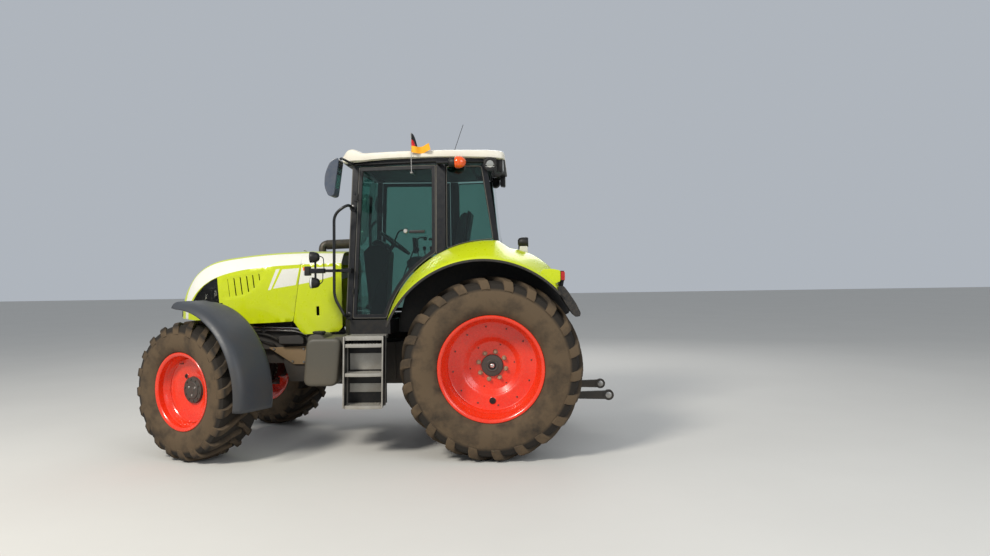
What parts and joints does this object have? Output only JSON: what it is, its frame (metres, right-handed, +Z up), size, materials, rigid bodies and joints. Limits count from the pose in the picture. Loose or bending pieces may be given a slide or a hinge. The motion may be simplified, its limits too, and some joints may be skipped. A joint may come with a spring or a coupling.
{
  "type": "farm tractor",
  "caption": "Four-wheel-drive farm tractor with glazed cab, sloping hood, steered front wheels with turning mudguards, lugged tyres, side steps and rear three-point linkage.",
  "frame": {"origin": "on the ground under the middle of the bounding box", "axes": "+X forwards, +Y to the tractor's left, +Z up"},
  "size_m": [4.8172, 2.9286, 3.4111],
  "materials": {
    "bare_steel": "worn",
    "body_green": "gloss paint",
    "cab_black": "satin paint",
    "cab_glass": "tinted",
    "casting_grey": "painted casting",
    "core_alloy": "finned",
    "flag_cloth": "woven",
    "guard_grey": "dusty",
    "lamp_orange": "clear lens",
    "lamp_red": "clear lens",
    "rim_red": "gloss paint",
    "rod_chrome": "polished",
    "roof_white": "satin",
    "rubber_black": "matte",
    "seat_cloth": "woven",
    "step_alloy": "worn",
    "tank_grey": "dusty",
    "trim_black": "matte",
    "tyre_rubber": "dusty"
  },
  "bodies": {
    "chassis": {"aerial": "trim_black", "battery_box": "trim_black", "beacon": "lamp_orange", "cab_floor": "cab_black", "cab_posts": "cab_black", "cab_windows": "cab_glass", "cowl": "body_green", "engine_block": "casting_grey", "exhaust": "cab_black", "front_axle": "casting_grey", "front_lamps": "trim_black", "front_support": "casting_grey", "fuel_tank": "tank_grey", "gearbox": "casting_grey", "guard_edges": "rubber_black", "handrails": "cab_black", "hitch_frame": "cab_black", "left_rear_guard": "body_green", "mirrors": "trim_black", "radiator": "core_alloy", "rear_axle_tubes": "casting_grey", "rear_panel": "cab_black", "right_rear_guard": "body_green", "roof": "roof_white", "roof_frame": "cab_black", "seat": "seat_cloth", "side_brackets": "cab_black", "steering_console": "trim_black", "steering_cylinder": "bare_steel", "steering_wheel": "trim_black", "steps": "step_alloy", "tail_lamps": "lamp_red", "work_lamps": "trim_black"},
    "hood": {"hood": "body_green", "hood_grille": "trim_black"},
    "left_door": {"left_door": "cab_black", "left_door_pane": "cab_glass", "flag_pole": "bare_steel", "flag_cloth": "flag_cloth"},
    "right_door": {"right_door": "cab_black", "right_door_pane": "cab_glass"},
    "left_rear_wheel": {"left_rear_tyre": "tyre_rubber", "left_rear_rim": "rim_red"},
    "right_rear_wheel": {"right_rear_tyre": "tyre_rubber", "right_rear_rim": "rim_red"},
    "left_front_wheel": {"left_front_tyre": "tyre_rubber", "left_front_rim": "rim_red"},
    "right_front_wheel": {"right_front_tyre": "tyre_rubber", "right_front_rim": "rim_red"},
    "left_swivel": {"left_swivel": "casting_grey", "left_front_guard": "guard_grey"},
    "right_swivel": {"right_swivel": "casting_grey", "right_front_guard": "guard_grey"},
    "tie_rod": {"tie_rod": "bare_steel"},
    "steering_rod": {"steering_rod": "rod_chrome"},
    "lower_links": {"lower_links": "cab_black"},
    "lift_arms": {"lift_arms": "cab_black"},
    "lift_rods": {"lift_rods": "cab_black"},
    "top_link": {"top_link": "cab_black"}
  },
  "joints": [
    {"name": "left_rear_wheel_spin", "type": "hinge", "parent": "chassis", "child": "left_rear_wheel", "pos_m": [-1.1766, 0.8802, 0.8725], "axis": [0, 1, 0], "continuous": true},
    {"name": "right_rear_wheel_spin", "type": "hinge", "parent": "chassis", "child": "right_rear_wheel", "pos_m": [-1.1766, -0.9998, 0.8725], "axis": [0, 1, 0], "continuous": true},
    {"name": "left_steer", "type": "hinge", "parent": "chassis", "child": "left_swivel", "pos_m": [1.6234, 0.6602, 0.6775], "axis": [0, 0, 1], "range_deg": [-7, 63]},
    {"name": "left_front_wheel_spin", "type": "hinge", "parent": "left_swivel", "child": "left_front_wheel", "pos_m": [1.72668, 0.85445, 0.6775], "axis": [0.4695, 0.8829, 0], "continuous": true},
    {"name": "right_steer", "type": "hinge", "parent": "chassis", "child": "right_swivel", "pos_m": [1.6234, -0.7798, 0.6775], "axis": [0, 0, 1], "range_deg": [-7, 63]},
    {"name": "right_front_wheel_spin", "type": "hinge", "parent": "right_swivel", "child": "right_front_wheel", "pos_m": [1.52012, -0.97405, 0.6775], "axis": [0.4695, 0.8829, 0], "continuous": true},
    {"name": "tie_rod_swing", "type": "hinge", "parent": "left_swivel", "child": "tie_rod", "pos_m": [1.4424, 0.75644, 0.5525], "axis": [0, 0, 1], "range_deg": [-63, 7]},
    {"name": "steering_rod_slide", "type": "slide", "parent": "chassis", "child": "steering_rod", "axis": [0, 1, 0], "range_m": [-0.02, 0.1715]},
    {"name": "hood_lift", "type": "hinge", "parent": "chassis", "child": "hood", "pos_m": [0.8604, -0.0598, 2.052], "axis": [0, -1, 0], "range_deg": [0, 45]},
    {"name": "left_door_swing", "type": "hinge", "parent": "chassis", "child": "left_door", "pos_m": [0.18603, 0.67203, 2.10325], "axis": [0.046, 0.0551, -0.9974], "range_deg": [0, 80]},
    {"name": "right_door_swing", "type": "hinge", "parent": "chassis", "child": "right_door", "pos_m": [0.18603, -0.79163, 2.10325], "axis": [-0.046, 0.0551, 0.9974], "range_deg": [0, 80]},
    {"name": "lower_links_lift", "type": "hinge", "parent": "chassis", "child": "lower_links", "pos_m": [-1.4066, -0.0598, 0.5], "axis": [0, 1, 0], "range_deg": [-12, 30]},
    {"name": "lift_arms_turn", "type": "hinge", "parent": "chassis", "child": "lift_arms", "pos_m": [-1.3666, -0.0598, 1.11], "axis": [0, 1, 0], "range_deg": [-12, 30]},
    {"name": "lift_rods_swing", "type": "hinge", "parent": "lower_links", "child": "lift_rods", "pos_m": [-1.8066, -0.0598, 0.5], "axis": [0, 1, 0], "range_deg": [-30, 12]},
    {"name": "top_link_swing", "type": "hinge", "parent": "chassis", "child": "top_link", "pos_m": [-1.5966, -0.0598, 1.18], "axis": [0, -1, 0], "range_deg": [0, 100]}
  ],
  "couplings": [
    {"joint": "right_steer", "follows": "left_steer", "ratio": 1},
    {"joint": "tie_rod_swing", "follows": "left_steer", "ratio": -1},
    {"joint": "steering_rod_slide", "follows": "left_steer", "m_per_rad": 0.155},
    {"joint": "lift_arms_turn", "follows": "lower_links_lift", "ratio": 1},
    {"joint": "lift_rods_swing", "follows": "lower_links_lift", "ratio": -1}
  ]
}
